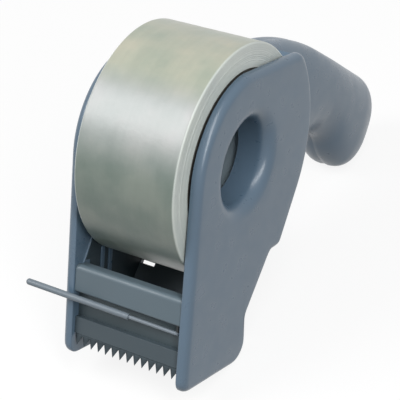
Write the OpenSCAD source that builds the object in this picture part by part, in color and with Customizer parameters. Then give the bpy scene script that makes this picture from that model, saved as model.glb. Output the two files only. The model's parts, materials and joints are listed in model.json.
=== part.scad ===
// Hand-held packing tape dispenser with a roll of clear tape.
// Millimetres. The hub axis is the X axis, +X is the right-hand cheek, -Y is the nose, +Z is up.
// Outlines are drawn in (y, z) with the nose upright. resting() then tips the whole assembly
// back, so that it stands on the two heels of the cheeks and on the end of the handle.

/* [Tape roll] */
// Width of the tape
tape_w = 48; // [46:0.5:49]
// Outside diameter of the roll
roll_d = 104.6; // [96:0.2:110]
// Inside diameter of the cardboard core
core_d = 76.4; // [74:0.2:80]
// Wall of the cardboard core
core_wall = 3; // [2:0.25:4]
// How far the roll sits to the right of the middle
roll_shift = 2; // [0:0.1:2.2]

/* [Body] */
// Room beside the roll, at each side of a roll in the middle
side_room = 3.25; // [2.5:0.25:5]
// Thickness of a cheek
cheek_t = 5; // [4.5:0.25:6]
// Radius of the cheek's rounded front about the hub
front_r = 41.2; // [40.5:0.1:42]
// Distance of the nose's front edge before the hub, at the toe
front_y = 40.1; // [39.4:0.1:40.6]
// Room between the roll and the rear wall
roll_room = 2.6; // [2:0.1:4]
// Thickness of the rear wall
wall_t = 4.6; // [3.6:0.1:5]
// Depth of the step under the hip, below the hub
hip_drop = 52; // [51:0.5:54]
// Depth of the notch corner, below the hub
notch_drop = 77; // [76:0.5:79]
// Distance of the notch corner behind the hub
notch_back = 13.1; // [11.5:0.1:14.5]
// Radius of the heel
heel_r = 10; // [8.5:0.5:11]
// Depth of the heel's centre below the hub
heel_drop = 89.6; // [88:0.2:91]
// Radius of the toe
toe_r = 6; // [4:0.5:8]
// Rise of the cheek's lower edge from heel to toe, in degrees
sole_rise = 4.8; // [3:0.2:6]

/* [Hub] */
// Bore radius of the hub stubs
hub_r = 19.4; // [18:0.1:20.5]
// Wall of a hub stub
stub_wall = 3.5; // [2.5:0.1:4.5]
// Depth of a stub from the cheek's outer face
stub_len = 16.8; // [15:0.1:18]
// Fillet at the mouth of the hub
mouth_r = 6.5; // [5:0.25:7]
// Radial running clearance of the drum on the stubs
run_clear = 0.06; // [0.03:0.01:0.1]

/* [Handle] */
// Half width of the handle
grip_half_w = 15.5; // [13:0.5:17]
// Wall of the hollow handle
grip_wall = 2.6; // [2:0.1:3.2]
// Radius of the bend in the handle's upper line
crown_r = 157; // [140:1:170]
// Slope of the handle's upper line, in degrees
grip_slope = 25; // [23:0.5:27]
// Straight length of the handle's upper line
grip_len = 96; // [90:1:104]
// Radius of the arch that the fingers go through
arch_r = 28; // [24:0.5:30]
// Radius of the handle's belly
belly_r = 50.5; // [46:0.5:56]

/* [Nose] */
// Depth of the crossbar's top below the hub
bar_drop = 51.3; // [51:0.1:52.5]
// Height of the crossbar
bar_h = 12.8; // [12:0.1:13.5]
// Depth of the crossbar, front to back
bar_d = 7; // [6.6:0.1:7.6]
// Depth of the crossbar's front lip
lip_d = 2.9; // [2.4:0.1:3.4]
// Set-back of the panel below the crossbar
panel_back = 4.2; // [3.6:0.1:5]
// Set-back of the blade clamp
clamp_back = 1.8; // [1.2:0.1:2.4]
// Depth of the clamp's ledge below the hub
ledge_drop = 77; // [76:0.25:78]
// Thickness of the nose block behind the panel
block_t = 6; // [5:0.25:7]
// Thickness of the rear panel
rear_t = 2.5; // [2:0.1:3]

/* [Blade] */
// Lean of the blade forward of the nose, in degrees
blade_lean = 25; // [20:1:28]
// Thickness of the blade
blade_t = 0.8; // [0.5:0.1:1]
// Length of blade that shows below the clamp
blade_show = 5.6; // [5:0.1:6.6]
// Height of a tooth
tooth_h = 3.4; // [2.5:0.1:4]
// Number of teeth
teeth = 14; // [12:1:18]

/* [Gate] */
// Wire radius
wire_r = 0.85; // [0.7:0.05:0.95]
// Sleeve radius
sleeve_r = 1.45; // [1.25:0.05:1.5]
// Reach of the finger to the left of the middle
finger_reach = 49.2; // [42:0.1:55]
// Reach of the sleeve to the left of the middle, at its inner end
sleeve_start = -1.5; // [-4:0.5:10]
// How far the finger's free end stands in front of its pivot
finger_lead = 8; // [7.6:0.1:9]
// Depth of the finger's pivot end below the crossbar
pivot_drop = 4.9; // [4:0.1:5.5]
// How far the finger's free end rises above its pivot
finger_rise = 5.2; // [4:0.1:5.4]

/* [Screws] */
// Screw shank radius
screw_r = 1.5; // [1.25:0.05:1.75]
// Screw head radius
head_r = 2.8; // [2.5:0.1:3.2]
// Screw head height
head_h = 1.8; // [1.5:0.1:2.2]
// Blade screw shank radius
blade_screw_r = 1; // [0.8:0.05:1.2]

/* [Hidden] */
$fn = 96;
fit = 0.05;
// How deep a moulded feature roots in the cheek, and how far the cheek stands proud of the wall.
root = 1;
cheek_lip = 0.4;

plastic = [0.42, 0.47, 0.51];
dark_plastic = [0.30, 0.34, 0.37];
steel = [0.72, 0.73, 0.74];

gap_w = tape_w + 2 * side_room;
inner_x = gap_w / 2;
outer_x = inner_x + cheek_t;
chamber_r = roll_d / 2 + roll_room;
rear_r = chamber_r + wall_t;
stub_r = hub_r + stub_wall;
stub_end = outer_x - stub_len;

// Hip: where the rear arc runs into a straight edge, and the step below it.
hip_angle = -27;
hip_round = 4;
notch_dir = 53.9;
step_y = notch_back + (notch_drop - hip_drop) / tan(notch_dir);
crown_round = 7;
crown_drop = 1;
// Ribs inside a cheek.
rib_y = [-20.6, -14.2];
rib_t = 2.8;
rib_h = 20;
rib_low = -ledge_drop + 8;
// Angles about the hub between which the rear wall runs.
wall_from = -51;
wall_to = 42;

// Heel and toe circles of a cheek.
heel = [notch_back + 1.6 - heel_r, -heel_drop];
toe_y = toe_r - front_y;
toe = [toe_y, heel[1] - (heel_r - toe_r) / cos(sole_rise) + (heel[0] - toe_y) * tan(sole_rise)];

// Upper line of the handle: level, bent by grip_slope, then straight.
crown_start = [rear_r - 14.1, front_r - 5];
crown_end = crown_start + crown_r * [sin(grip_slope), cos(grip_slope) - 1];
grip_tip = crown_end + grip_len * [cos(grip_slope), -sin(grip_slope)];
// Lower line of the handle: an arch for the fingers, then the belly.
arch_turn = 33.5;
arch_from = 155.5;
belly_start = crown_end + [22.5, -58];
arch_c = belly_start - arch_r * [cos(arch_turn), sin(arch_turn)];
belly_c = belly_start + belly_r * [cos(arch_turn), sin(arch_turn)];
grip_heel = belly_c - [0, belly_r];
stations = 22;
ring_n = 14;
square_pow = 2.85;
cap_from = 0.82;
cap_pow = 1.9;

boss_r = head_r + 1.2;
pilot_depth = grip_half_w - grip_wall - 1.5;

// Nose: everything hangs on the front line of the cheeks, a little behind it.
bar_set = 0.5;
bar_front = bar_set - front_y;
bar_low = -bar_drop - bar_h;
lip_step = 0.9;
panel_y = bar_front + panel_back;
clamp_y = bar_front + clamp_back;
block_rear = panel_y + block_t;
clamp_h = 8;
blade_out = [clamp_y + 1.1, -ledge_drop - clamp_h];
blade_up = [sin(blade_lean), cos(blade_lean)];
blade_n = [-cos(blade_lean), sin(blade_lean)];
tang = (clamp_h - 0.4) / cos(blade_lean);
blade_w = gap_w - 1;
blade_screw_x = 16;
blade_screw_s = tang * 0.52;
// Blade screws: bite into the clamp, seat behind the blade, and head.
clamp_bite = 1.8;
screw_seat = 4;
blade_head_h = 1.2;
blade_head_r = blade_screw_r * 1.8;
tie_at = [[bar_front + bar_d * 0.6, -bar_drop - 4.4], [panel_y + block_t / 2, bar_low - 5.5]];
tie_length = outer_x + inner_x + 3 - head_h - 0.6;
insert_r = screw_r + 1.1;
insert_l = 3.2;

// Gate: pivot in the crossbar, near the right cheek.
pivot = [inner_x - 2.2, bar_front + 2.6, bar_low - pivot_drop];
bush_r = wire_r + 0.75;
bush_l = 6;
finger_vec = [-finger_reach - pivot[0], -finger_lead, finger_rise];

// Rear panel: let into the cheeks, set in from the notch's edge, and clear of the roll's chamber.
panel_bite = 1.5;
panel_in = 1.2;
panel_foot = -5;
panel_gap = 0.46;
panel_off = notch_back * sin(notch_dir) + notch_drop * cos(notch_dir) - panel_in - rear_t;
panel_top = notch_drop * sin(notch_dir) - notch_back * cos(notch_dir)
            - sqrt(pow(chamber_r + panel_gap, 2) - pow(panel_off, 2));
// See-through slot in the rear panel, near the left cheek.
slot_side = 0.6;
slot_w = 7.4;
slot_h = 2;
slot_up = 7;

drum_r = core_d / 2 - 0.15;
drum_half = tape_w / 2 - 0.5;
roll_right = roll_shift + drum_half;
roll_left = roll_shift - drum_half;

function arc(c, r, a0, a1, n = 12) =
    [for (i = [0:n]) let (a = a0 + (a1 - a0) * i / n) c + r * [cos(a), sin(a)]];

function cheek_points() =
    let (corner_z = front_r - crown_drop - crown_round,
         corner_c = [sqrt(pow(rear_r - crown_round, 2) - pow(corner_z, 2)), corner_z],
         corner_a = atan2(corner_c[1], corner_c[0]))
    concat(arc([0, 0], front_r, 181, 97, 24),
           arc(corner_c, crown_round, 90, corner_a, 8),
           arc([0, 0], rear_r, corner_a, hip_angle, 24),
           arc(hip_corner(), hip_round, hip_angle, -90, 8),
           [[step_y, -hip_drop], [notch_back, -notch_drop]],
           arc(heel, heel_r, 0, -90 - sole_rise, 16),
           arc(toe, toe_r, -90 - sole_rise, -180, 10));

// Centre of the round at the hip: hip_round inside both the straight edge and the step.
function hip_corner() =
    let (z = hip_round - hip_drop,
         y = (rear_r - hip_round - z * sin(hip_angle)) / cos(hip_angle))
    [y, z];

// Point at a share u of a path given as points.
function path_length(p, i = 0) = i >= len(p) - 1 ? 0 : norm(p[i + 1] - p[i]) + path_length(p, i + 1);
function walk(p, d, i = 0) =
    let (step = norm(p[i + 1] - p[i]))
    i >= len(p) - 2 || d <= step ? p[i] + (p[i + 1] - p[i]) * min(1, d / step) : walk(p, d - step, i + 1);

upper_line = concat([crown_start - [12, 0]],
                    arc(crown_start - [0, crown_r], crown_r, 90, 90 - grip_slope, 16),
                    [grip_tip]);
lower_line = concat([[rear_r - 22, arch_c[1] + arch_r * sin(arch_from) - 2]],
                    arc(arch_c, arch_r, arch_from, arch_turn, 16),
                    arc(belly_c, belly_r, 180 + arch_turn, 270, 16));
upper_len = path_length(upper_line);
lower_len = path_length(lower_line);

// Middle of the handle at a share u of its length.
function grip_mid(u) = (walk(upper_line, u * upper_len) + walk(lower_line, u * lower_len)) / 2;

// Half a ring of the handle, right of the middle: a squared-off ellipse between the two lines,
// drawn in by inset, whose two ends lie at x = -past.
function grip_ring(u, inset, past) =
    let (top = walk(upper_line, u * upper_len),
         low = walk(lower_line, u * lower_len),
         mid = (top + low) / 2,
         dir = (top - low) / norm(top - low),
         t = max(0, (u - cap_from) / (1 - cap_from)),
         cap = pow(max(0, 1 - pow(t, cap_pow)), 1 / cap_pow),
         h = max(0.4, norm(top - low) / 2 * cap - inset),
         w = max(0.4, grip_half_w * cap - inset))
    [for (i = [0:ring_n])
        let (a = 180 * i / ring_n - 90,
             x = i == 0 || i == ring_n ? -past : w * pow(cos(a), 2 / square_pow),
             v = h * sign(sin(a)) * pow(abs(sin(a)), 2 / square_pow))
        [x, mid[0] + v * dir[0], mid[1] + v * dir[1]]];

// Place of ring k along the handle, closer together towards the end.
function station_u(k, u_last) = u_last * (1 - pow(1 - k / stations, 1.5));

// Closed half body of the handle through its rings.
module grip_body(inset, u_last, past) {
    rings = [for (k = [0:stations]) grip_ring(station_u(k, u_last), inset, past)];
    points = [for (r = rings) each r];
    n = ring_n + 1;
    sides = [for (k = [0:stations - 1], i = [0:ring_n])
        let (a = k * n + i, b = k * n + (i + 1) % n)
        each [[a, b, b + n], [a, b + n, a + n]]];
    first = [for (i = [1:ring_n - 1]) [0, i + 1, i]];
    base = stations * n;
    last = [for (i = [1:ring_n - 1]) [base, base + i, base + i + 1]];
    polyhedron(points, concat(sides, first, last), convexity = 8);
}

grip_screw_at = [for (u = [0.34, 0.6, 0.84]) grip_mid(u)];

// The resting line touches the heel circle and the lowest ring of the handle.
low_ring = [for (k = [stations / 2:stations])
    let (p = grip_ring(station_u(k, 1), 0, 0)[0]) [p[1], p[2]] - heel];
rest_pitch = -min([for (d = low_ring) atan2(d[1], d[0]) + asin(heel_r / norm(d))]);

// Tips the upright assembly onto its heels and the end of its handle.
module resting() rotate([rest_pitch, 0, 0]) children();

// Extrudes a (y, z) outline from x0 to x1.
module across(x0, x1) translate([x0, 0, 0]) rotate([90, 0, 90]) linear_extrude(x1 - x0) children();

// A rod along X from x0 to x1 at (y, z).
module rod(r, x0, x1, at = [0, 0], n = 48)
    translate([x0, at[0], at[1]]) rotate([0, 90, 0]) cylinder(r = r, h = x1 - x0, $fn = n);

// A ring about the hub from x0 to x1.
module hub_ring(r_in, r_out, x0, x1) translate([x0, 0, 0]) rotate([0, 90, 0])
    rotate_extrude() translate([r_in, 0]) square([r_out - r_in, x1 - x0]);

// Half of the rear wall, right of the middle: a ring sector behind the roll, let into the cheek.
module rear_wall() intersection() {
    hub_ring(chamber_r, rear_r - cheek_lip, 0, inner_x + root);
    across(-1, outer_x) polygon(concat([[0, 0]], arc([0, 0], rear_r * 1.3, wall_from, wall_to, 12)));
}

// Half of the hollow handle, right of the middle.
module grip_half() difference() {
    grip_body(0, 1, 0);
    grip_body(grip_wall, 0.965, 1);
    rod(chamber_r + wall_t / 2, -1, inner_x, n = 128);
}

// Two upright ribs inside a cheek, below the roll.
module cheek_ribs() for (y = rib_y)
    translate([inner_x - root, y, rib_low]) cube([2 * root, rib_t, rib_h]);

// What both body halves share, drawn on the right.
module half_blank() {
    difference() {
        union() {
            across(inner_x, outer_x) polygon(cheek_points());
            rod(stub_r, stub_end, inner_x + root, n = 128);
            rear_wall();
            grip_half();
            cheek_ribs();
            for (at = grip_screw_at) rod(boss_r, 0, grip_half_w - grip_wall / 2, at);
        }
        rod(hub_r, stub_end - 1, outer_x + 1, n = 128);
        translate([outer_x - mouth_r, 0, 0]) rotate([0, 90, 0]) rotate_extrude() difference() {
            square([hub_r + mouth_r, mouth_r + 1]);
            translate([hub_r + mouth_r, 0]) circle(mouth_r);
        }
        rear_panel_blank(0.1);
    }
}

module right_half() color(plastic) resting() difference() {
    half_blank();
    for (at = grip_screw_at) rod(screw_r + fit, -1, pilot_depth, at);
    for (at = tie_at) rod(insert_r + fit, inner_x - 1, inner_x + insert_l + 0.1, at);
    for (at = tie_at) rod(screw_r + fit, inner_x - 1, inner_x + insert_l + 0.6, at);
}

module left_half() color(plastic) resting() difference() {
    mirror([1, 0, 0]) half_blank();
    for (at = grip_screw_at) {
        rod(screw_r + fit, -grip_half_w - 1, 1, at);
        rod(head_r + 0.2, -grip_half_w - 1, 2 - grip_half_w + head_h, at);
    }
    for (at = tie_at) {
        rod(screw_r + fit, -outer_x - 1, 0, at);
        rod(head_r + 0.2, -outer_x - 1, head_h + 0.6 - outer_x, at);
    }
}

// A pan-head screw along +X whose head sits on x = 0.
module screw(r, length) {
    rod(r, 0, length);
    difference() {
        rod(head_r, -head_h, 0);
        for (turn = [0, 90]) rotate([turn, 0, 0])
            translate([-head_h - 1, -head_r * 0.6, -0.3]) cube([1.8, head_r * 1.2, 0.6]);
    }
}

module handle_screws() color(steel) resting()
    for (at = grip_screw_at) translate([2 - grip_half_w + head_h, at[0], at[1]])
        screw(screw_r, grip_half_w + pilot_depth - 3 - head_h);

module tie_screws() color(steel) resting()
    for (at = tie_at) translate([head_h + 0.6 - outer_x, at[0], at[1]]) screw(screw_r, tie_length);

module tie_inserts() color([0.75, 0.62, 0.35]) resting()
    for (at = tie_at) difference() {
        rod(insert_r, inner_x, inner_x + insert_l, at);
        rod(screw_r + fit, inner_x - 1, inner_x + insert_l + 1, at);
    }

function bar_points() =
    let (y1 = bar_front + bar_d, z1 = -bar_drop, r = lip_d * 0.75, s = 1)
    concat([[y1, bar_low]],
           arc([bar_front + s, bar_low + s], s, -90, -180, 4),
           arc([bar_front + r, z1 - r], r, 180, 90, 8),
           [[bar_front + lip_d, z1], [bar_front + lip_d, z1 - lip_step], [y1, z1 - lip_step]]);

module crossbar() color(plastic) resting() difference() {
    across(-inner_x, inner_x) polygon(bar_points());
    rod(screw_r + 0.2, -inner_x - 1, inner_x + 1, tie_at[0]);
    translate([pivot[0], pivot[1], bar_low - 1]) cylinder(r = bush_r + fit, h = bush_l + 1);
}

// Front-to-back place of the blade's front face at height z.
function blade_y(z) = blade_out[0] + (z - blade_out[1]) * tan(blade_lean);
half_t = (blade_t / 2 + fit) / cos(blade_lean);

module nose_block() color(dark_plastic) resting() difference() {
    across(-inner_x, inner_x) polygon([
        [panel_y, bar_low], [panel_y, -ledge_drop], [blade_y(-ledge_drop) + half_t, -ledge_drop],
        [blade_y(blade_out[1]) + half_t, blade_out[1]], [blade_out[0] + block_t, blade_out[1]],
        [max(block_rear, blade_y(-ledge_drop) + 3.2), -ledge_drop], [block_rear, bar_low]]);
    rod(screw_r + 0.2, -inner_x - 1, inner_x + 1, tie_at[1]);
    blade_screw_places() rod(blade_screw_r + 0.15, -1, gap_w);
    blade_screw_places() rod(blade_head_r + 0.1, screw_seat, gap_w);
}

module blade_clamp() color(plastic) resting() difference() {
    across(-inner_x, inner_x) polygon([
        [clamp_y, -ledge_drop], [clamp_y, blade_out[1]], [blade_y(blade_out[1]) - half_t, blade_out[1]],
        [blade_y(-ledge_drop) - half_t, -ledge_drop]]);
    blade_screw_places() rod(blade_screw_r + fit, -clamp_bite - 0.1, 1);
}

// Lays children, drawn along +X from the blade's middle plane, at each blade screw, head end to the rear.
module blade_screw_places() for (x = [-blade_screw_x, blade_screw_x])
    translate([x, blade_out[0] + blade_up[0] * blade_screw_s, blade_out[1] + blade_up[1] * blade_screw_s])
        rotate([-blade_lean, 0, 0]) rotate([0, 0, 90]) children();

// Lays children, drawn in (x, up the blade), on the blade's middle plane.
module on_blade() translate([0, blade_out[0], blade_out[1]]) rotate([90 - blade_lean, 0, 0]) children();

module blade() color(steel) resting() difference() {
    pitch = blade_w / teeth;
    on_blade() linear_extrude(blade_t, center = true) polygon(concat(
        [[-blade_w / 2, tang], [-blade_w / 2, tooth_h - blade_show]],
        [for (i = [0:teeth - 1]) each [
            [-blade_w / 2 + pitch * (i + 0.5), -blade_show],
            [-blade_w / 2 + pitch * (i + 1), tooth_h - blade_show]]],
        [[blade_w / 2, tang]]));
    blade_screw_places() rod(blade_screw_r + 0.15, -screw_seat, screw_seat);
}

module blade_screws() color(steel) resting() blade_screw_places() {
    rod(blade_screw_r, -clamp_bite, screw_seat);
    rod(blade_head_r, screw_seat, screw_seat + blade_head_h);
}

// The rear panel lies in the notch, drawn along the notch's edge from the notch corner upwards.
module on_notch() translate([0, notch_back, -notch_drop]) rotate([notch_dir, 0, 0]) children();

module rear_panel_blank(grow) on_notch()
    translate([-inner_x - panel_bite - grow, panel_foot - grow, panel_in - grow])
        cube([gap_w + 2 * (panel_bite + grow), panel_top - panel_foot + 2 * grow, rear_t + 2 * grow]);

module rear_panel() color(dark_plastic) resting() difference() {
    rear_panel_blank(0);
    on_notch() translate([slot_side - inner_x, slot_up, 0]) cube([slot_w, slot_h, rear_t * 4]);
}

module core_drum() color([0.33, 0.36, 0.38]) resting() {
    hub_ring(stub_r + run_clear, stub_r + run_clear + 2.4, roll_left, roll_right);
    hub_ring(drum_r - 2.4, drum_r, roll_left, roll_right);
    hub_ring(stub_r + run_clear + 2.3, drum_r - 2.3, roll_shift - 1.25, roll_shift + 1.25);
}

module drag_washers() color([0.25, 0.25, 0.24]) resting() {
    hub_ring(stub_r + 0.1, stub_r + 4, roll_right + 0.1, inner_x);
    hub_ring(stub_r + 0.1, stub_r + 4, -inner_x, roll_left - 0.1);
}

module tape_core() color([0.66, 0.54, 0.38]) resting()
    hub_ring(core_d / 2, core_d / 2 + core_wall, roll_shift - tape_w / 2, roll_shift + tape_w / 2);

module tape_roll() color([0.78, 0.80, 0.74]) resting()
    hub_ring(core_d / 2 + core_wall, roll_d / 2, roll_shift - tape_w / 2, roll_shift + tape_w / 2);

// Lays children, drawn along +X from the gate's pivot, on the finger's line.
module on_finger() translate(pivot)
    rotate([0, -asin(finger_vec[2] / norm(finger_vec)), atan2(finger_vec[1], finger_vec[0])]) children();

finger_l = norm(finger_vec);
sleeve_from = (pivot[0] + sleeve_start) / (pivot[0] + finger_reach) * finger_l;

module gate_wire() color(steel) resting() {
    on_finger() rod(wire_r, 0, finger_l - 2, n = 32);
    translate(pivot) sphere(r = wire_r, $fn = 32);
    translate(pivot) cylinder(r = wire_r, h = pivot_drop + bush_l - 0.8, $fn = 32);
}

module gate_sleeve() color([0.50, 0.55, 0.58]) resting() on_finger() difference() {
    union() {
        rod(sleeve_r, sleeve_from, finger_l - sleeve_r, n = 32);
        translate([finger_l - sleeve_r, 0, 0]) sphere(r = sleeve_r, $fn = 32);
    }
    rod(wire_r + fit, sleeve_from - 1, finger_l - 1.95, n = 32);
}

module gate_bush() color(dark_plastic) resting() translate([pivot[0], pivot[1], bar_low]) difference() {
    cylinder(r = bush_r, h = bush_l);
    translate([0, 0, -1]) cylinder(r = wire_r + fit, h = bush_l + 2);
}

right_half();
left_half();
handle_screws();
tie_screws();
tie_inserts();
crossbar();
nose_block();
rear_panel();
blade_clamp();
blade();
blade_screws();
core_drum();
drag_washers();
tape_core();
tape_roll();
gate_wire();
gate_sleeve();
gate_bush();
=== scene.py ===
import json
import math

import bmesh
import bpy
import numpy as np
from mathutils import Matrix, Vector


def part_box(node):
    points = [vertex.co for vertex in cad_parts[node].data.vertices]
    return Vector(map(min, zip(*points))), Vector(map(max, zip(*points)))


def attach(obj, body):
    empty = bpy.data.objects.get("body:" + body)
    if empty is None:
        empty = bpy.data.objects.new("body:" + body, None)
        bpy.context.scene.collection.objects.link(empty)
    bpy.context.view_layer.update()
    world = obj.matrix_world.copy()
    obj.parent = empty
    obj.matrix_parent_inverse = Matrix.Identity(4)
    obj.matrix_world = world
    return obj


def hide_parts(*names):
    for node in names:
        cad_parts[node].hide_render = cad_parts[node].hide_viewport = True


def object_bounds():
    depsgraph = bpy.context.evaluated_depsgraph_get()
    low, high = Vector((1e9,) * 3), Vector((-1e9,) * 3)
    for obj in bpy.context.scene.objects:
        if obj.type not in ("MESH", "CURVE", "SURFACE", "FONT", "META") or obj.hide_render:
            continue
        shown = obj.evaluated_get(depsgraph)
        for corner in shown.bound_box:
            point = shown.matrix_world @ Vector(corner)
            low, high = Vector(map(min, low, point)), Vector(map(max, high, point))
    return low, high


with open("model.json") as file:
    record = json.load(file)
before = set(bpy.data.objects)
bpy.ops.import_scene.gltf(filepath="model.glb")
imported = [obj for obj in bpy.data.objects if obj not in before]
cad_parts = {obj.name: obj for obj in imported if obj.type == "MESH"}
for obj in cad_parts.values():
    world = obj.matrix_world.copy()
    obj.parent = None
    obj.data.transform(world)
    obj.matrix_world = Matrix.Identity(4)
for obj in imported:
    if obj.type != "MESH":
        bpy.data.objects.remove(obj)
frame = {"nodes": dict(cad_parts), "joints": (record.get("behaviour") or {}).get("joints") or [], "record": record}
cad_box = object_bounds()

# Right body half.
# A half shell moulded in satin blue-grey plastic: a flat cheek with a hub stub, half of the wall behind
# the roll and half of the hollow handle. It is drawn with the nose upright and then tipped onto its rest.
mm = 0.001
gate_hinge = next(joint for joint in frame["joints"] if joint["name"] == "gate_swing")
pitch = math.atan2(-gate_hinge["axis"][1], gate_hinge["axis"][2])
hub_mount = next(mount for mount in frame["record"]["mounts"] if mount["name"] == "hub_bore")

inner_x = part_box("crossbar")[1].x
outer_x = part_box("right_half")[1].x
front_r = 41.2 * mm
front_y = 40.1 * mm
chamber_r = 54.9 * mm
rear_r = 59.5 * mm
crown_round = 7 * mm
crown_drop = 1 * mm
hip_drop = 52 * mm
hip_angle = -27
hip_round = 4 * mm
notch_back = 13.1 * mm
notch_drop = 77 * mm
notch_slope = math.radians(53.9)
heel_r = 10 * mm
heel_drop = 89.6 * mm
toe_r = 6 * mm
sole_rise = 4.8
hub_r = hub_mount["dims"]["r_mm"] * mm
stub_r = hub_r + 3.5 * mm
stub_end = outer_x - 16.8 * mm
mouth_r = 6.5 * mm
edge_round = 3.4 * mm
inner_round = 0.7 * mm
stub_chamfer = 0.5 * mm
heel_back = 1.6 * mm
outline_points = 480
outline_passes = 4
plastic_grey = (0.100, 0.156, 0.218)


def rest(x, y, z):
    """Tips places drawn with an upright nose onto the resting frame: a turn by pitch about the hub axis."""
    turned_y = y * math.cos(pitch) - z * math.sin(pitch)
    turned_z = y * math.sin(pitch) + z * math.cos(pitch)
    return np.stack(np.broadcast_arrays(x, turned_y, turned_z), axis=-1)


def arc(centre, radius, start, end, count):
    """Points on a circle, evenly turned between two angles in degrees."""
    angle = np.radians(np.linspace(start, end, count))
    return np.stack([centre[0] + radius * np.cos(angle), centre[1] + radius * np.sin(angle)], axis=1)


def spaced(points, count):
    """The same line at evenly spaced points: each coordinate read off against the length walked."""
    walked = np.concatenate([[0], np.cumsum(np.linalg.norm(np.diff(points, axis=0), axis=1))])
    even = np.linspace(0, walked[-1], count)
    return np.stack([np.interp(even, walked, points[:, axis]) for axis in (0, 1)], axis=1)


def closed_line(corners, count, passes):
    """A closed line at even spacing, each point averaged with its neighbours so that corners turn softly.
    Returns the points and the unit normals that point to the right of the way round, into the shape."""
    line = spaced(np.concatenate([corners, corners[:1]]), count + 1)[:-1]
    for _ in range(passes):
        line = (np.roll(line, 1, axis=0) + 2 * line + np.roll(line, -1, axis=0)) / 4
    along = np.roll(line, -1, axis=0) - np.roll(line, 1, axis=0)
    inward = np.stack([along[:, 1], -along[:, 0]], axis=1)
    return line, inward / np.linalg.norm(inward, axis=1, keepdims=True)


def shell(points, loop=False, ends=False):
    """Vertices and faces of a grid of points whose columns close into a ring: a quad between neighbours.
    loop closes the rows as well, and ends puts a fan on the middle of the first and of the last row."""
    rows, columns = points.shape[:2]
    index = np.arange(rows * columns).reshape(rows, columns)
    index = np.concatenate([index, index[:, :1]], axis=1)
    if loop:
        index = np.concatenate([index, index[:1]], axis=0)
    corners = [index[:-1, :-1], index[1:, :-1], index[1:, 1:], index[:-1, 1:]]
    faces = np.stack(corners, axis=-1).reshape(-1, 4).tolist()
    vertices = points.reshape(-1, 3)
    if ends:
        vertices = np.concatenate([vertices, points[[0, -1]].mean(axis=1)])
        first = np.stack([index[0, :-1], index[0, 1:], np.full(columns, rows * columns)], axis=-1)
        last = np.stack([index[-1, 1:], index[-1, :-1], np.full(columns, rows * columns + 1)], axis=-1)
        faces += first.tolist() + last.tolist()
    return vertices, faces


def piece(name, shells, sharp=32):
    """One mesh object from shells: doubled points merged, faces turned outwards, sharp edges kept crisp."""
    starts = np.cumsum([0] + [len(vertices) for vertices, _ in shells])
    vertices = np.concatenate([vertices for vertices, _ in shells])
    faces = [[start + corner for corner in face] for start, (_, part) in zip(starts, shells) for face in part]
    mesh = bpy.data.meshes.new(name)
    mesh.from_pydata(vertices.tolist(), [], faces)
    work = bmesh.new()
    work.from_mesh(mesh)
    bmesh.ops.remove_doubles(work, verts=work.verts, dist=1e-6)
    bmesh.ops.dissolve_degenerate(work, edges=work.edges, dist=1e-7)
    bmesh.ops.recalc_face_normals(work, faces=work.faces)
    work.to_mesh(mesh)
    work.free()
    mesh.shade_smooth()
    mesh.set_sharp_from_angle(angle=math.radians(sharp))
    made = bpy.data.objects.new(name, mesh)
    bpy.context.scene.collection.objects.link(made)
    return made


quarter = np.linspace(0, math.pi / 2, 9)
rising, falling = np.sin(quarter), np.cos(quarter)
crown_z = front_r - crown_drop - crown_round
crown_c = (math.sqrt((rear_r - crown_round) ** 2 - crown_z ** 2), crown_z)
crown_turn = math.degrees(math.atan2(crown_c[1], crown_c[0]))
hip_z = hip_round - hip_drop
hip_sine = math.sin(math.radians(hip_angle))
hip_c = ((rear_r - hip_round - hip_z * hip_sine) / math.cos(math.radians(hip_angle)), hip_z)
step_y = notch_back + (notch_drop - hip_drop) / math.tan(notch_slope)
heel = (notch_back + heel_back - heel_r, -heel_drop)
toe_y = toe_r - front_y
sole = math.radians(sole_rise)
toe = (toe_y, heel[1] - (heel_r - toe_r) / math.cos(sole) + (heel[0] - toe_y) * math.tan(sole))

cheek_line, cheek_inward = closed_line(np.concatenate([
    arc((0, 0), front_r, 181, 97, 60),
    arc(crown_c, crown_round, 90, crown_turn, 16),
    arc((0, 0), rear_r, crown_turn, hip_angle, 60),
    arc(hip_c, hip_round, hip_angle, -90, 12),
    [[step_y, -hip_drop], [notch_back, -notch_drop]],
    arc(heel, heel_r, 0, -90 - sole_rise, 30),
    arc(toe, toe_r, -90 - sole_rise, -180, 20)]), outline_points, outline_passes)


def cheek(side):
    """Cheek and hub stub as one closed skin: a section carried once round the outline. A column of the
    section has a share, 0 on the hub circle and 1 on the outline, a hub radius, an inset and a height x."""
    flat = np.linspace(0, 1, 8)
    full = np.ones(len(quarter))
    level = np.ones(len(flat))
    none = 0 * full
    mouth = (none, hub_r + mouth_r * (1 - falling), none, outer_x - mouth_r * (1 - rising))
    face = (flat, (hub_r + mouth_r) * level, edge_round * level, outer_x * level)
    outer_edge = (full, none, edge_round * (1 - rising), outer_x - edge_round * (1 - falling))
    inner_edge = (full, none, inner_round * (1 - falling), inner_x + inner_round * (1 - rising))
    back = (1 - flat, stub_r * level, inner_round * level, inner_x * level)
    section = np.concatenate([
        [[0, hub_r + stub_chamfer, 0, stub_end], [0, hub_r, 0, stub_end + stub_chamfer]],
        *(np.stack(columns, axis=1) for columns in (mouth, face, outer_edge, inner_edge, back)),
        [[0, stub_r, 0, stub_end + stub_chamfer], [0, stub_r - stub_chamfer, 0, stub_end]]])
    share, radius, inset, x = section.T
    bearing = np.arctan2(cheek_line[:, 1], cheek_line[:, 0])
    hub = np.stack([np.cos(bearing), np.sin(bearing)], axis=1)
    edge = cheek_line[:, None] + inset[:, None] * cheek_inward[:, None]
    place = share[:, None] * edge + (1 - share[:, None]) * radius[:, None] * hub[:, None]
    return shell(rest(side * x, place[..., 0], place[..., 1]), loop=True)


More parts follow.
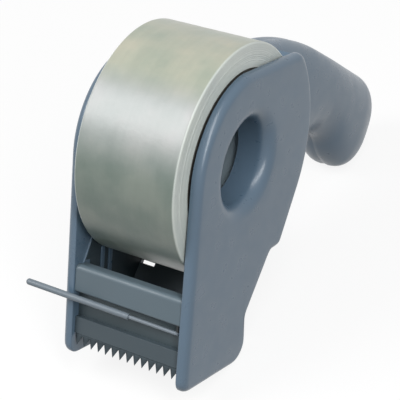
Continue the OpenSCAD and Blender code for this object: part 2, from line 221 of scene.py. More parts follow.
def hoop(half_a, half_b, power, count):
    """A closed superellipse: each half size times a power of the sine or cosine, with its sign kept."""
    angle = np.linspace(0, 2 * math.pi, count, endpoint=False)
    across, up = np.cos(angle), np.sin(angle)
    return (half_a * np.sign(across) * np.abs(across) ** (2 / power),
            half_b * np.sign(up) * np.abs(up) ** (2 / power))


wall_inset = 0.4 * mm
wall_out = rear_r - wall_inset
wall_angles = (-51, 40)
wall_overlap = 1 * mm
wall_power = 9


def rear_wall(side):
    """Half of the rear wall: a slab section with soft edges, carried round the hub between two angles."""
    angle = np.radians(np.linspace(*wall_angles, 100))[:, None]
    depth = (inner_x + wall_overlap) / 2
    across, out = hoop(depth, (wall_out - chamber_r) / 2, wall_power, 48)
    radius = (wall_out + chamber_r) / 2 + out
    return shell(rest(side * (depth + across), radius * np.cos(angle), radius * np.sin(angle)), ends=True)


grip_half_w = 15.5 * mm
crown_back = 14.1 * mm
crown_sink = 5 * mm
crown_lead = 12 * mm
crown_r = 157 * mm
grip_slope = 25
grip_len = 96 * mm
root_reach = 22 * mm
root_sink = 2 * mm
arch_r = 28 * mm
belly_r = 50.5 * mm
belly_step = np.array([22.5, -58]) * mm
arch_turn = 33.5
arch_from = 155.5
cap_from = 0.82
cap_power = 1.9
square_power = 2.85
under_power = 1.9
end_power = 2.5
square_from = 0.55
seam = 0.25 * mm
grip_rows = 110
cap_rows = 28
slope = math.radians(grip_slope)
crown_start = np.array([rear_r - crown_back, front_r - crown_sink])
crown_end = crown_start + crown_r * np.array([math.sin(slope), math.cos(slope) - 1])
grip_tip = crown_end + grip_len * np.array([math.cos(slope), -math.sin(slope)])
belly_start = crown_end + belly_step
arch_way = np.array([math.cos(math.radians(arch_turn)), math.sin(math.radians(arch_turn))])
arch_c = belly_start - arch_r * arch_way
belly_c = belly_start + belly_r * arch_way
upper_line = spaced(np.concatenate([
    [crown_start - np.array([crown_lead, 0])],
    arc(crown_start - np.array([0, crown_r]), crown_r, 90, 90 - grip_slope, 300),
    [grip_tip]]), 600)
root_z = arch_c[1] + arch_r * math.sin(math.radians(arch_from)) - root_sink
lower_line = spaced(np.concatenate([
    [[rear_r - root_reach, root_z]],
    arc(arch_c, arch_r, arch_from, arch_turn, 300),
    arc(belly_c, belly_r, 180 + arch_turn, 270, 300)]), 600)


def grip_half(side):
    """Half of the handle: half a superellipse between the upper and the lower line, carried along both at
    equal shares. It is rounder under the root and over the end, and closed by a rounded end and by a flat
    joint face with a fine groove along the parting. The root is pushed back into the rear wall."""
    cap_turn = np.linspace(0, math.pi / 2, cap_rows)[1:]
    share = np.concatenate([np.linspace(0, cap_from, grip_rows),
                            cap_from + (1 - cap_from) * np.sin(cap_turn) ** (2 / cap_power)])
    cap = np.concatenate([np.ones(grip_rows), np.maximum(np.cos(cap_turn), 1e-4) ** (2 / cap_power)])
    steps = np.linspace(0, 1, len(upper_line))
    top = np.stack([np.interp(share, steps, upper_line[:, axis]) for axis in (0, 1)], axis=1)
    low = np.stack([np.interp(share, steps, lower_line[:, axis]) for axis in (0, 1)], axis=1)
    half = (top - low) / 2
    angle = np.linspace(-math.pi / 2, math.pi / 2, 49)
    squared = np.clip((share - square_from) / (cap_from - square_from), 0, 1)
    under = under_power + (square_power - under_power) * squared
    over = square_power + (end_power - square_power) * squared
    power = np.where(angle < 0, under[:, None], over[:, None])
    ring_x = np.cos(angle) ** (2 / power)
    ring_v = np.sign(angle) * np.abs(np.sin(angle)) ** (2 / power)
    x = np.maximum(grip_half_w * cap[:, None] * ring_x, seam)
    x[:, [0, -1]] = 0
    lift = cap[:, None] * ring_v
    lift[:, [0, -1]] *= 1 - 2 * seam / np.linalg.norm(half, axis=1)[:, None]
    place = ((top + low) / 2)[:, None] + lift[..., None] * half[:, None]
    wall_mid = (chamber_r + wall_out) / 2
    place[..., 0] = np.maximum(place[..., 0], np.sqrt(np.maximum(wall_mid ** 2 - place[..., 1] ** 2, 0)))
    return shell(rest(side * x, place[..., 0], place[..., 1]), ends=True)


def pebble(centre, half, power, lean=0):
    """A block with rounded edges: superellipse rings that shrink to nothing at both ends along z, each moved
    along y by its height times the tangent of a lean."""
    turn = np.linspace(-math.pi / 2, math.pi / 2, 25)[:, None]
    shrink = np.maximum(np.cos(turn), 1e-4) ** (2 / power)
    rise = half[2] * np.sign(turn) * np.abs(np.sin(turn)) ** (2 / power)
    across, deep = hoop(half[0], half[1], power, 40)
    y = centre[1] + deep * shrink + rise * math.tan(math.radians(lean))
    return shell(rest(centre[0] + across * shrink, y, centre[2] + rise), ends=True)


rib_ys = (-19.2 * mm, -12.8 * mm)
rib_z = -59 * mm
rib_half = (1 * mm, 1.4 * mm, 10 * mm)
rib_power = 7
slant_y = -31 * mm
slant_z = -46.8 * mm
slant_half = (0.7 * mm, 0.6 * mm, 6 * mm)
slant_power = 4
slant_lean = 28.5


def cheek_ribs(side):
    """Two upright ribs on a cheek's inner face, below the roll, and a narrow leaning one before them."""
    upright = [pebble((side * inner_x, y, rib_z), rib_half, rib_power) for y in rib_ys]
    return [*upright, pebble((side * inner_x, slant_y, slant_z), slant_half, slant_power, slant_lean)]


def finish(name):
    """A new material with its nodes and its main shader."""
    material = bpy.data.materials.new(name)
    material.use_nodes = True
    return material, material.node_tree, material.node_tree.nodes["Principled BSDF"]


def place_of(tree, stretch=(1, 1, 1)):
    """Object coordinates, stretched along each axis."""
    place = tree.nodes.new("ShaderNodeTexCoord")
    mapping = tree.nodes.new("ShaderNodeMapping")
    mapping.inputs["Scale"].default_value = stretch
    tree.links.new(place.outputs["Object"], mapping.inputs["Vector"])
    return mapping.outputs["Vector"]


def noise(tree, vector, scale, detail=3.0):
    """Cloudy noise with that many clouds to the metre."""
    node = tree.nodes.new("ShaderNodeTexNoise")
    node.inputs["Scale"].default_value = scale
    node.inputs["Detail"].default_value = detail
    tree.links.new(vector, node.inputs["Vector"])
    return node.outputs["Fac"]


def ramp(tree, value, stops):
    """Colours or greys along a value."""
    node = tree.nodes.new("ShaderNodeValToRGB")
    node.color_ramp.elements[0].position = stops[0][0]
    node.color_ramp.elements[1].position = stops[-1][0]
    for position, _ in stops[1:-1]:
        node.color_ramp.elements.new(position)
    for element, (_, colour) in zip(node.color_ramp.elements, stops):
        element.color = (*colour, 1)
    tree.links.new(value, node.inputs["Fac"])
    return node.outputs["Color"]


def bump(tree, shader, height, depth, strength=1.0, under=None):
    """Raises the surface by a height value, up to a depth in metres, on top of a bump that lies under it."""
    node = tree.nodes.new("ShaderNodeBump")
    node.inputs["Strength"].default_value = strength
    node.inputs["Distance"].default_value = depth
    tree.links.new(height, node.inputs["Height"])
    if under:
        tree.links.new(under, node.inputs["Normal"])
    tree.links.new(node.outputs["Normal"], shader.inputs["Normal"])
    return node.outputs["Normal"]


cloud_scale = 38
rub_scale = 120
grain_scale = 1500
grain_depth = 0.02 * mm


def moulded_plastic(name, colour, rough, shine=0.5):
    """Satin moulded plastic: a faintly cloudy colour, uneven gloss from handling and a fine mould grain."""
    material, tree, shader = finish(name)
    place = place_of(tree)
    clouds = noise(tree, place, cloud_scale, 4)
    shades = [tuple(part * share for part in colour) for share in (0.97, 1.0, 1.03)]
    tree.links.new(ramp(tree, clouds, [(0.3, shades[0]), (0.5, shades[1]), (0.7, shades[2])]),
                   shader.inputs["Base Color"])
    rub = noise(tree, place, rub_scale, 5)
    dull, worn = (rough + 0.04,) * 3, (rough - 0.04,) * 3
    tree.links.new(ramp(tree, rub, [(0.35, dull), (0.65, worn)]), shader.inputs["Roughness"])
    shader.inputs["Specular IOR Level"].default_value = shine
    bump(tree, shader, noise(tree, place, grain_scale, 2), grain_depth, 0.3)
    return material


body_plastic = moulded_plastic("body_plastic", plastic_grey, 0.31, 0.6)
right_body = piece("right_body", [cheek(1), rear_wall(1), grip_half(1), *cheek_ribs(1)])
right_body.data.materials.append(body_plastic)
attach(right_body, "frame")
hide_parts("right_half")

# Crossbar.
# A moulded bar between the cheeks that the tape is pressed down on: a thin rounded lip along the top of its
# front, a step behind the lip, a flat front face and a small round below. The upper tie screw clamps it.
bar_front = 0.5 * mm - front_y
bar_top = -51.3 * mm
bar_h = 12.8 * mm
bar_d = 7 * mm
lip_d = 2.9 * mm
lip_step = 0.9 * mm
bar_round = 0.75 * lip_d
bar_foot_round = 1 * mm
bar_low = bar_top - bar_h
bar_soft = 0.25 * mm
bar_grey = (0.104, 0.142, 0.168)


def prism(name, corners, x_from, x_to, soft, passes=2, count=160):
    """A closed outline in (y, z) carried along x, drawn in by a quarter round of radius soft at both ends."""
    line, inward = closed_line(np.array(corners), count, passes)
    step = np.linspace(0, math.pi / 2, 5)
    inset = np.concatenate([soft * (1 - np.sin(step)), soft * (1 - np.cos(step))])
    x = np.concatenate([x_from + soft * (1 - np.cos(step)), x_to - soft * (1 - np.sin(step))])
    edge = line[None] + inset[:, None, None] * inward[None]
    return piece(name, [shell(rest(x[:, None], edge[..., 0], edge[..., 1]), ends=True)])


bar_outline = np.concatenate([
    arc((bar_front + bar_foot_round, bar_low + bar_foot_round), bar_foot_round, 270, 180, 8),
    arc((bar_front + bar_round, bar_top - bar_round), bar_round, 180, 90, 24),
    [[bar_front + lip_d, bar_top], [bar_front + lip_d, bar_top - lip_step]],
    [[bar_front + bar_d, bar_top - lip_step], [bar_front + bar_d, bar_low]]])
crossbar = prism("crossbar_bar", bar_outline, -inner_x, inner_x, bar_soft, 1, 320)
crossbar.data.materials.append(moulded_plastic("bar_plastic", bar_grey, 0.42))
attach(crossbar, "frame")
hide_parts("crossbar")

# Nose block.
# The dark moulded block below the crossbar that backs the blade. The lower tie screw passes through it, and
# two small screws from behind pull the blade and its clamp against its slanted face.
panel_y = bar_front + 4.2 * mm
block_t = 6 * mm
block_least = 3.2 * mm
block_soft = 0.2 * mm
ledge_z = -77 * mm
clamp_y = bar_front + 1.8 * mm
clamp_h = 8 * mm
clamp_t = 1.1 * mm
blade_lean = math.radians(25)
blade_t = 0.8 * mm
blade_room = 0.05 * mm
blade_foot = np.array([clamp_y + clamp_t, ledge_z - clamp_h])
half_slot = (blade_t / 2 + blade_room) / math.cos(blade_lean)
ledge_blade_y = blade_foot[0] + clamp_h * math.tan(blade_lean)
dark_grey = (0.046, 0.066, 0.076)

nose = prism("nose_panel", [
    (blade_foot[0] + half_slot, blade_foot[1]), (ledge_blade_y + half_slot, ledge_z), (panel_y, ledge_z),
    (panel_y, bar_low), (panel_y + block_t, bar_low),
    (max(panel_y + block_t, ledge_blade_y + block_least), ledge_z), (blade_foot[0] + block_t, blade_foot[1])],
    -inner_x, inner_x, block_soft, 0, 320)
nose.data.materials.append(moulded_plastic("nose_plastic", dark_grey, 0.5))
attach(nose, "frame")
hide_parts("nose_block")

# Rear panel.
# A flat plate let into grooves in both cheeks, which closes the back below the roll. A slot near the left cheek
# lets light through. Thin dark sheets on both cheeks in front of the plate are painted shade: they darken the
# cheeks' inner faces where shade falls.
panel_grey = (0.13, 0.165, 0.19)
# Painted shade: thin dark sheets on the cheeks' inner faces, in front of the plate, where shade falls.
shade_liner_grey = (0.030, 0.046, 0.056)
shade_liner_t = 0.3 * mm
shade_liner_soft = 0.1 * mm
shade_liner_edge = np.array([(-33.4, -51.2), (-27.5, -40.4)]) * mm
shade_liner_rear = np.array([(35, -40.4), (6.5, -80)]) * mm
shade_liner_foot = np.array([(-28.5, -80), (-28.5, -52.3)]) * mm
shade_liner_outline = np.concatenate([shade_liner_edge, shade_liner_rear, shade_liner_foot])


def dress(name, material):
    """Gives a piece that is shown as its solid a material in place of the one it came with."""
    materials = frame["nodes"][name].data.materials
    materials.clear()
    materials.append(material)


dress("rear_panel", moulded_plastic("panel_plastic", panel_grey, 0.5))
shade_liner_plastic = moulded_plastic("shade_liner_plastic", shade_liner_grey, 0.6, 0.25)
for name, side in (("left_shade_liner", -1), ("right_shade_liner", 1)):
    faces = sorted((side * (inner_x - shade_liner_t), side * (inner_x + shade_liner_t)))
    shade_liner = prism(name, shade_liner_outline, *faces, shade_liner_soft, 0)
    shade_liner.data.materials.append(shade_liner_plastic)
    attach(shade_liner, "frame")

# Blade clamp.
# A moulded strip across the nose that covers the blade's tang. Its top stands proud as a narrow ledge.
clamp_soft = 0.25 * mm
clamp_grey = (0.052, 0.073, 0.087)
clamp = prism("clamp_strip", [
    (clamp_y, blade_foot[1]), (clamp_y, ledge_z), (ledge_blade_y - half_slot, ledge_z),
    (blade_foot[0] - half_slot, blade_foot[1])], -inner_x, inner_x, clamp_soft, 1, 200)
clamp.data.materials.append(moulded_plastic("clamp_plastic", clamp_grey, 0.5))
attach(clamp, "frame")
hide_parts("blade_clamp")

# Blade.
# A punched strip of steel with a row of pointed teeth, coated blue-grey. It leans forward out of the slot
# between clamp and nose block, and its teeth are ground to an edge.
blade_show = 5.6 * mm
tooth_h = 4.2 * mm
teeth = 14
blade_half_w = inner_x - 0.5 * mm
blade_top = (clamp_h - 0.4 * mm) / math.cos(blade_lean)
blade_rows = 12
tooth_steps = 8
tooth_thinned = 0.75
blade_grey = (0.045, 0.057, 0.065)
line_scale = 900
line_depth = 0.01 * mm


def blade_strip():
    """The blade as rings across its width: each ring runs down the front and up the back between the top
    and the zigzag edge, and thins to an edge over the teeth."""
    x = np.linspace(-blade_half_w, blade_half_w, teeth * tooth_steps + 1)
    phase = np.linspace(0, teeth, len(x)) % 1
    edge = -blade_show + tooth_h * np.abs(2 * phase - 1)
    down = np.linspace(0, 1, blade_rows)
    root = tooth_h - blade_show
    up = np.concatenate([blade_top + (root - blade_top) * down[None] + 0 * edge[:, None],
                         root + (edge[:, None] - root) * down[None, 1:]], axis=1)
    thick = blade_t / 2 * np.concatenate([np.ones(blade_rows), 1 - tooth_thinned * down[1:]])
    front = np.stack([up, np.broadcast_to(thick, up.shape)], axis=-1)
    back = np.stack([up, np.broadcast_to(-thick, up.shape)], axis=-1)[:, ::-1]
    ring = np.concatenate([front, back], axis=1)
    y = blade_foot[0] + ring[..., 0] * math.sin(blade_lean) - ring[..., 1] * math.cos(blade_lean)
    z = blade_foot[1] + ring[..., 0] * math.cos(blade_lean) + ring[..., 1] * math.sin(blade_lean)
    return shell(rest(x[:, None], y, z), ends=True)


def coated_steel(name, colour, rough, stretch):
    """Drawn or ground metal: fine lines along the stretch, in the gloss and in the surface."""
    material, tree, shader = finish(name)
    lines = noise(tree, place_of(tree, stretch), line_scale, 3)
    shades = [tuple(part * share for part in colour) for share in (0.9, 1.08)]
    tree.links.new(ramp(tree, lines, [(0.3, shades[0]), (0.7, shades[1])]), shader.inputs["Base Color"])
    tree.links.new(ramp(tree, lines, [(0.3, (rough + 0.08,) * 3), (0.7, (rough - 0.08,) * 3)]),
                   shader.inputs["Roughness"])
    shader.inputs["Metallic"].default_value = 1.0
    bump(tree, shader, lines, line_depth, 0.4)
    return material


blade = piece("blade_strip", [blade_strip()], 25)
blade.data.materials.append(coated_steel("blade_coat", blade_grey, 0.55, (0.05, 1, 1)))
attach(blade, "frame")
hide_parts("blade")

# Blade screws, tie screws and handle screws.
# Plain zinc-plated screws with cross slots. The blade screws go in from behind, the others from the left.
zinc_grey = (0.52, 0.53, 0.53)
zinc = coated_steel("zinc_plate", zinc_grey, 0.35, (1, 1, 1))
for name in ("blade_screws", "tie_screws", "handle_screws"):
    dress(name, zinc)

# Tie inserts.
# Turned brass bushes with a thread, pressed into the right cheek for the tie screws.
brass_yellow = (0.55, 0.38, 0.14)
dress("tie_inserts", coated_steel("turned_brass", brass_yellow, 0.3, (1, 0.1, 0.1)))

# Drag washers.
# Two rings of pressed grey felt on the hub stubs, which keep the roll from running on.
felt_dark = (0.03, 0.03, 0.03)
felt_light = (0.09, 0.09, 0.085)
fibre_scale = 1500
fibre_depth = 0.2 * mm


def felt_finish():
    """Pressed felt: short tangled fibres as fine noise in the colour and the surface, with a soft sheen."""
    material, tree, shader = finish("grey_felt")
    fibres = noise(tree, place_of(tree), fibre_scale, 6)
    tree.links.new(ramp(tree, fibres, [(0.3, felt_dark), (0.7, felt_light)]), shader.inputs["Base Color"])
    shader.inputs["Roughness"].default_value = 0.95
    shader.inputs["Sheen Weight"].default_value = 0.4
    bump(tree, shader, fibres, fibre_depth, 0.8)
    return material


dress("drag_washers", felt_finish())

# Core drum.
# A moulded grey spool that runs on both hub stubs and carries the roll's cardboard core.
drum_grey = (0.19, 0.24, 0.27)
dress("core_drum", moulded_plastic("drum_plastic", drum_grey, 0.45))

# Cardboard core.
# The wound paper tube inside the roll, of kraft card with fibres in its pulp. Its colour is painted dark as shade,
# where it shows in the gap between the roll and the cheeks.
# Painted shade: the card is darkened to look like the shade in the gap beside the roll.
kraft_shade_dark = (0.045, 0.043, 0.038)
kraft_shade_light = (0.075, 0.07, 0.06)
pulp_scale = 700
pulp_depth = 0.05 * mm


def kraft_finish():
    """Kraft card: pulp painted dark as shade, clouded and roughened by its fibres."""
    material, tree, shader = finish("kraft_card")
    pulp = noise(tree, place_of(tree), pulp_scale, 6)
    tree.links.new(ramp(tree, pulp, [(0.25, kraft_shade_dark), (0.75, kraft_shade_light)]), shader.inputs["Base Color"])
    shader.inputs["Roughness"].default_value = 0.85
    bump(tree, shader, pulp, pulp_depth, 0.6)
    return material


dress("tape_core", kraft_finish())

# Tape roll.
# Clear packing film wound tight on its core. The wound layers look greenish grey, with trapped air as pale
# mottling, and the edges of the layers make fine rings on both sides. Light and shade are painted into the film's
# colour: paler on the roll's upper side and darker clear grey on its lower side, and this painting turns with the
# roll.
roll_low, roll_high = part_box("tape_roll")
roll_spread = Vector((0.4 * mm, 0, 0))
roll_low, roll_high = roll_low - roll_spread, roll_high + roll_spread
core_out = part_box("tape_core")[1].z
roll_r = roll_high.z
core_gap = 0.05 * mm
layer_rings = 60
layer_shift = 0.05 * mm
layer_step = 0.04 * mm
roll_edge = 1 * mm
swell_depth = 0.03 * mm
swell_slant = 900


def roll_side(side):
    """Section of one side of the roll from the core outwards: layer edges in steps of a seeded scatter."""
    scatter = np.random.default_rng(11 + side).uniform(0, layer_shift, layer_rings)
    radius = np.linspace(core_out + core_gap, roll_r - roll_edge, layer_rings + 1)
    start, end = radius[:-1], radius[1:]
    face = roll_high.x if side > 0 else roll_low.x
    x = np.repeat(face - side * scatter, 2)
    return np.stack([x, np.stack([start, end - layer_step], axis=1).reshape(-1)], axis=1)


def wound_roll():
    """The roll turned about the hub axis: layered sides, a small round at each edge and an outer face that
    swells and sinks by a few hundredths where air is trapped."""
    right = roll_side(1)
    left = roll_side(-1)[::-1]
    x = np.linspace(roll_high.x - roll_edge, roll_low.x + roll_edge, 40)
    opening, closing = roll_edge * (1 - rising), roll_edge * (1 - falling)
    edge_right = np.stack([roll_high.x - closing, roll_r - opening], axis=1)
    edge_left = np.stack([roll_low.x + opening, roll_r - closing], axis=1)
    face = np.stack([x, np.full(len(x), roll_r)], axis=1)
    section = np.concatenate([right, edge_right, face, edge_left, left])
    turn = np.linspace(0, 2 * math.pi, 240, endpoint=False)[:, None]
    swell = swell_depth * np.sin(5 * turn + swell_slant * section[:, 0]) * np.sin(11 * turn + 1)
    out = section[:, 1] + swell * (section[:, 1] > roll_r - 0.01 * mm)
    grid = np.stack(np.broadcast_arrays(section[:, 0], out * np.cos(turn), out * np.sin(turn)), axis=-1)
    return shell(grid, loop=True)


def blended(tree, way, share, first, second):
    """Two colours blended in a given way, all over or by a share."""
    node = tree.nodes.new("ShaderNodeMix")
    node.data_type = "RGBA"
    node.blend_type = way
    node.inputs["Factor"].default_value = 1.0
    if share:
        tree.links.new(share, node.inputs["Factor"])
    tree.links.new(first, node.inputs["A"])
    tree.links.new(second, node.inputs["B"])
    return node.outputs["Result"]


def eased(tree, value, low, high):
    """A share that is 0 below a low value and 1 above a high one, with a soft step between."""
    node = tree.nodes.new("ShaderNodeMapRange")
    node.interpolation_type = "SMOOTHSTEP"
    node.inputs["From Min"].default_value = low
    node.inputs["From Max"].default_value = high
    tree.links.new(value, node.inputs["Value"])
    return node.outputs["Result"]


def changed(tree, operation, value, number=0.0):
    """A value after one step of arithmetic with a fixed number."""
    node = tree.nodes.new("ShaderNodeMath")
    node.operation = operation
    node.inputs[1].default_value = number
    tree.links.new(value, node.inputs[0])
    return node.outputs[0]


# Painted light and shade on the film: towards this side the roll is painted pale, away from it darker.
painted_light_side = math.radians(60)
half_lit_limits = (-0.12, 0.12)
lit_limits = (0.2, 0.33)
film_stops = (0.34, 0.5, 0.66)
painted_lit_film = ((0.33, 0.37, 0.30), (0.39, 0.41, 0.33), (0.45, 0.445, 0.355))
painted_half_lit_film = ((0.325, 0.355, 0.345), (0.365, 0.39, 0.38), (0.415, 0.425, 0.42))
painted_shaded_film = ((0.13, 0.175, 0.15), (0.165, 0.205, 0.178), (0.205, 0.24, 0.208))
cut_dark = (0.61, 0.66, 0.63)
cut_light = (0.68, 0.73, 0.68)
cut_inset = 0.2 * mm
film_cloud_scale = 55
streak_scale = 420
wave_depth = 0.9 * mm
streak_depth = 0.03 * mm


def film_finish():
    """Wound clear film, greenish grey with cloudy mottling and streaks along the winding, with light and shade
    painted into its colour: pale and yellowish on the roll's upper side where most light falls, then paler grey,
    then darker clear greenish grey on the shaded lower side. The cut layer edges are paler."""
    material, tree, shader = finish("wound_film")
    place = place_of(tree)
    clouds = noise(tree, place, film_cloud_scale, 5)
    # Painted light and shade: the first ramp is the lit upper side, the second the paler band and the third the
    # shaded lower side.
    lit_tint, pale, clear = [ramp(tree, clouds, list(zip(film_stops, shades)))
                          for shades in (painted_lit_film, painted_half_lit_film, painted_shaded_film)]
    along = tree.nodes.new("ShaderNodeVectorMath")
    along.operation = "DOT_PRODUCT"
    reach = 0.5 / roll_r
    along.inputs[1].default_value = (0, reach * math.cos(painted_light_side), reach * math.sin(painted_light_side))
    tree.links.new(place, along.inputs[0])
    film = blended(tree, "MIX", eased(tree, along.outputs["Value"], *half_lit_limits), clear, pale)
    film = blended(tree, "MIX", eased(tree, along.outputs["Value"], *lit_limits), film, lit_tint)
    across = tree.nodes.new("ShaderNodeSeparateXYZ")
    tree.links.new(place, across.inputs["Vector"])
    off_middle = changed(tree, "SUBTRACT", across.outputs["X"], (roll_low.x + roll_high.x) / 2)
    half_w = (roll_high.x - roll_low.x) / 2
    cut = eased(tree, changed(tree, "ABSOLUTE", off_middle), half_w - roll_edge, half_w - cut_inset)
    edges = ramp(tree, clouds, [(0.3, cut_dark), (0.7, cut_light)])
    tint = blended(tree, "MIX", cut, film, edges)
    streaks = noise(tree, place_of(tree, (1, 0.06, 0.06)), streak_scale, 4)
    light = ramp(tree, streaks, [(0.3, (0.95, 0.95, 0.95)), (0.7, (1.0, 1.0, 1.0))])
    tree.links.new(blended(tree, "MULTIPLY", None, tint, light), shader.inputs["Base Color"])
    tree.links.new(ramp(tree, clouds, [(0.3, (0.28,) * 3), (0.7, (0.38,) * 3)]), shader.inputs["Roughness"])
    shader.inputs["Specular IOR Level"].default_value = 0.5
    shader.inputs["Coat Weight"].default_value = 0.2
    shader.inputs["Coat Roughness"].default_value = 0.3
    waves = bump(tree, shader, clouds, wave_depth, 0.5)
    bump(tree, shader, streaks, streak_depth, 0.2, waves)
    return material


roll = piece("wound_tape", [wound_roll()], 40)
roll.data.materials.append(film_finish())
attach(roll, "roll")
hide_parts("tape_roll")

# Gate bush, wire and sleeve.
# A coated wire finger turns in a plastic bush in the crossbar's underside, on an upright pin that is painted dark
# as shade so that it stays unseen under the crossbar. A light grey sleeve is pushed over the free half of the
# wire, where the tape slides.
pin_x = inner_x - 2.2 * mm
pin_y = bar_front + 2.6 * mm
pin_z = bar_low - 4.9 * mm
finger_slope = 0.07
pin_from = 0.9 * mm
pin_to = 1.3 * mm
# Painted shade: the pin is coloured near black so that it is lost in the shade under the crossbar.
pin_shade_grey = (0.010, 0.013, 0.015, 1)
wire_grey = (0.172, 0.205, 0.238)
sleeve_grey = (0.150, 0.182, 0.212)


def wire_finish():
    """Coated wire with painted shade on the pin, which is what stands above the plane that the finger lies in."""
    material = moulded_plastic("wire_coat", wire_grey, 0.4)
    tree = material.node_tree
    shader = tree.nodes["Principled BSDF"]
    coat = shader.inputs["Base Color"].links[0].from_socket
    above = tree.nodes.new("ShaderNodeVectorMath")
    above.operation = "DOT_PRODUCT"
    pin_way = rest(finger_slope, 0, 1)
    above.inputs[1].default_value = pin_way
    tree.links.new(place_of(tree), above.inputs[0])
    plane = float(rest(pin_x, pin_y, pin_z) @ pin_way)
    pin_shaded = eased(tree, above.outputs["Value"], plane + pin_from, plane + pin_to)
    pin_shade = tree.nodes.new("ShaderNodeRGB")
    pin_shade.outputs["Color"].default_value = pin_shade_grey
    tree.links.new(blended(tree, "MIX", pin_shaded, coat, pin_shade.outputs["Color"]), shader.inputs["Base Color"])
    return material


dress("gate_bush", moulded_plastic("bush_plastic", dark_grey, 0.45))
dress("gate_wire", wire_finish())
dress("gate_sleeve", moulded_plastic("sleeve_plastic", sleeve_grey, 0.42))

# Left body half.
# The mirror of the right half. Its screws go in from outside, through counterbores that hide their heads.
head_bore = 3 * mm
bore_past = 1 * mm
tie_sunk = 2.4 * mm
handle_sunk = 3.8 * mm
bar_tie = (bar_front + 0.6 * bar_d, bar_top - 4.4 * mm)
nose_tie = (panel_y + block_t / 2, bar_low - 5.5 * mm)
handle_shares = (0.34, 0.6, 0.84)


def bored(vertices_faces, places, x_from, x_to):
    """A shell with round holes along x taken out of it, each by subtracting a closed rod."""
    solid = piece("bored_work", [vertices_faces])
    angle = np.linspace(0, 2 * math.pi, 48, endpoint=False)
    round_y, round_z = head_bore * np.cos(angle), head_bore * np.sin(angle)
    rod_ends = np.array([[x_from], [x_to]])
    rods = [shell(rest(rod_ends, y + round_y, z + round_z), ends=True) for y, z in places]
    tool = piece("bored_tool", rods)
    cut = solid.modifiers.new("cut", "BOOLEAN")
    cut.object = tool
    cut.solver = "EXACT"
    bpy.context.view_layer.update()
    result = solid.evaluated_get(bpy.context.evaluated_depsgraph_get()).to_mesh()
    coordinates = np.empty(len(result.vertices) * 3)
    result.vertices.foreach_get("co", coordinates)
    faces = [list(polygon.vertices) for polygon in result.polygons]
    bpy.data.objects.remove(tool)
    bpy.data.objects.remove(solid)
    return coordinates.reshape(-1, 3), faces


line_shares = np.linspace(0, 1, len(upper_line))
grip_middle = (upper_line + lower_line) / 2
handle_places = [[np.interp(share, line_shares, grip_middle[:, axis]) for axis in (0, 1)]
                 for share in handle_shares]
left_cheek = bored(cheek(-1), (bar_tie, nose_tie), -outer_x - bore_past, tie_sunk - outer_x)
left_grip = bored(grip_half(-1), handle_places, -grip_half_w - bore_past, handle_sunk - grip_half_w)
left_body = piece("left_body", [left_cheek, rear_wall(-1), left_grip, *cheek_ribs(-1)])
left_body.data.materials.append(body_plastic)
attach(left_body, "frame")
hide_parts("left_half")

# Floor, light and camera.
# A pale floor that shows white and keeps the shadow, a broad soft light high in front on the left, a long
# narrow one on the right for the glints on rounded edges, and the camera where the photograph was taken from.
floor_z = cad_box[0].z
floor_half = 3.0
floor_grey = (0.14, 0.14, 0.14, 1)
floor_glow = 0.86
sky_light = 0.2
sky_seen = 1.0


def seen(tree):
    """1 for camera, mirror and glass rays, and 0 for the rays that light the object."""
    path = tree.nodes.new("ShaderNodeLightPath")
    first = tree.nodes.new("ShaderNodeMath")
    first.operation = "MAXIMUM"
    second = tree.nodes.new("ShaderNodeMath")
    second.operation = "MAXIMUM"
    tree.links.new(path.outputs["Is Camera Ray"], first.inputs[0])
    tree.links.new(path.outputs["Is Glossy Ray"], first.inputs[1])
    tree.links.new(first.outputs[0], second.inputs[0])
    tree.links.new(path.outputs["Is Transmission Ray"], second.inputs[1])
    return second.outputs[0]


def floor_finish():
    """A matt pale floor that adds its own white where it is seen."""
    material, tree, shader = finish("pale_floor")
    shader.inputs["Base Color"].default_value = floor_grey
    shader.inputs["Roughness"].default_value = 1.0
    shader.inputs["Specular IOR Level"].default_value = 0.0
    shader.inputs["Emission Color"].default_value = (1, 1, 1, 1)
    glow = tree.nodes.new("ShaderNodeMath")
    glow.operation = "MULTIPLY"
    glow.inputs[1].default_value = floor_glow
    tree.links.new(seen(tree), glow.inputs[0])
    tree.links.new(glow.outputs[0], shader.inputs["Emission Strength"])
    return material


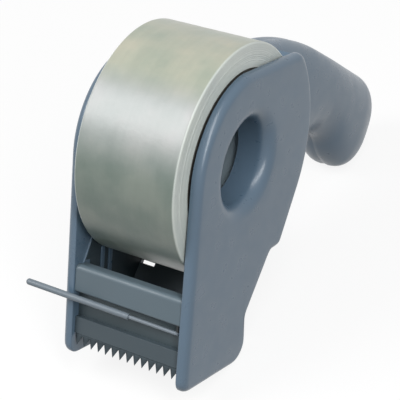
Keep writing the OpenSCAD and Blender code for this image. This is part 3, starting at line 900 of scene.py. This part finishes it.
corners = np.array([(-1, -1), (1, -1), (1, 1), (-1, 1)]) * floor_half
floor_mesh = bpy.data.meshes.new("floor")
floor_mesh.from_pydata(np.column_stack([corners, np.full(4, floor_z)]).tolist(), [], [(0, 1, 2, 3)])
floor_mesh.materials.append(floor_finish())
floor = bpy.data.objects.new("floor", floor_mesh)
bpy.context.scene.collection.objects.link(floor)

world = bpy.data.worlds.new("studio")
world.use_nodes = True
bpy.context.scene.world = world
sky = world.node_tree.nodes["Background"]
sky.inputs["Color"].default_value = (1, 1, 1, 1)
level = world.node_tree.nodes.new("ShaderNodeMapRange")
level.inputs["To Min"].default_value = sky_light
level.inputs["To Max"].default_value = sky_seen
world.node_tree.links.new(seen(world.node_tree), level.inputs["Value"])
world.node_tree.links.new(level.outputs["Result"], sky.inputs["Strength"])


def soft_light(name, place, width, height, power):
    """A soft box of a width and a height in metres and a power in watts, which faces the hub."""
    lamp = bpy.data.lights.new(name, "AREA")
    lamp.shape = "RECTANGLE"
    lamp.size = width
    lamp.size_y = height
    lamp.energy = power
    box = bpy.data.objects.new(name, lamp)
    box.location = place
    box.rotation_euler = (-Vector(place)).to_track_quat("-Z", "Y").to_euler()
    bpy.context.scene.collection.objects.link(box)


soft_light("key", (-0.64, -0.70, 1.01), width=0.7, height=0.7, power=11)
soft_light("fill", (0.76, -0.52, 0.98), width=0.32, height=1.7, power=16)

camera_at = rest(303.8 * mm, -537.51 * mm, 228.88 * mm)
camera_right = rest(0.8583, 0.5069, 0.0803)
camera_up = rest(-0.2577, 0.2904, 0.9216)
camera_back = np.cross(camera_right, camera_up)
lens = bpy.data.cameras.new("camera")
lens.sensor_width = 36
lens.lens = 135.5
lens.clip_end = 20
camera = bpy.data.objects.new("camera", lens)
turn = np.column_stack([camera_right, camera_up, camera_back, camera_at])
camera.matrix_world = Matrix(np.vstack([turn, [0, 0, 0, 1]]).tolist())
bpy.context.scene.collection.objects.link(camera)
bpy.context.scene.camera = camera
bpy.context.scene.view_settings.view_transform = "Standard"
